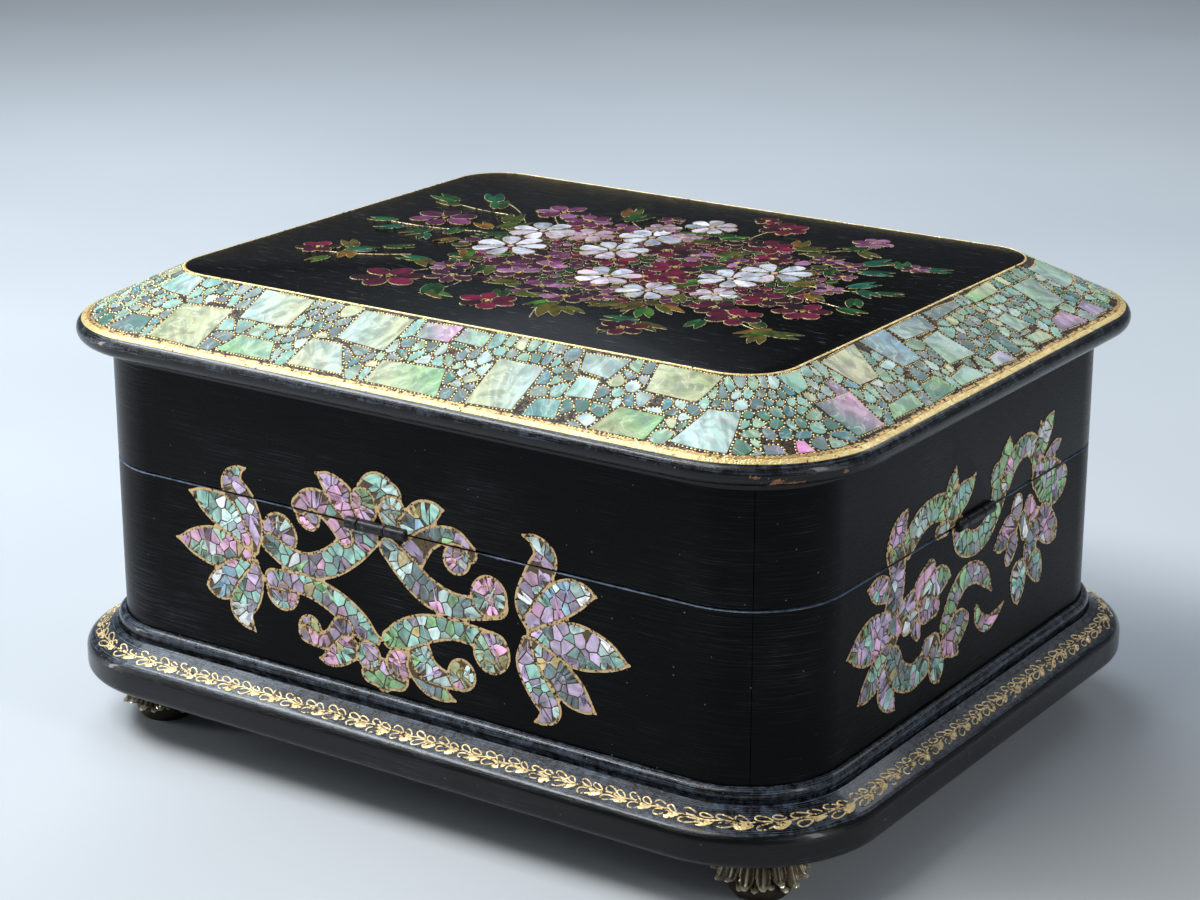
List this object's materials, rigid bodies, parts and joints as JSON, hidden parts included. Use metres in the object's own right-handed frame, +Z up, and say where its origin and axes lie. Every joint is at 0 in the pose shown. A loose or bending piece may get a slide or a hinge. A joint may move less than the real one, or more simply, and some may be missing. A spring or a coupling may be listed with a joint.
{
  "type": "jewelry box",
  "caption": "Rounded rectangular lacquered box with a hinged bevelled lid, moulded plinth and leaf-cast feet, for keeping jewelry.",
  "frame": {"origin": "on the ground under the middle of the box", "axes": "+X along the long sides, front towards -Y, +Z up"},
  "size_m": [0.3, 0.25, 0.1565],
  "materials": {
    "black_lacquer": "papier-mache with glossy black lacquer, shell inlay and gilt lines",
    "shell_and_gilding": "papier-mache board with a mosaic of shell and gilding round a black lacquered panel",
    "antique_brass": "cast, darkened in the hollows",
    "blackened_iron": "turned and blackened"
  },
  "bodies": {
    "box": {"plinth": "black_lacquer", "box_body": "black_lacquer", "foot_front_left": "antique_brass", "foot_front_right": "antique_brass", "foot_back_left": "antique_brass", "foot_back_right": "antique_brass", "hinge_left_body_leaf": "blackened_iron", "hinge_right_body_leaf": "blackened_iron", "hinge_left_pin": "blackened_iron", "hinge_right_pin": "blackened_iron", "catch_front": "blackened_iron", "catch_right": "blackened_iron", "catch_left": "blackened_iron"},
    "lid": {"lid_frame": "black_lacquer", "lid_top": "shell_and_gilding", "hinge_left_lid_leaf": "blackened_iron", "hinge_right_lid_leaf": "blackened_iron"}
  },
  "joints": [
    {"name": "lid_hinge", "type": "hinge", "parent": "box", "child": "lid", "pos_m": [0, 0.1116, 0.0937], "axis": [-1, 0, 0], "range_deg": [0, 100]}
  ]
}
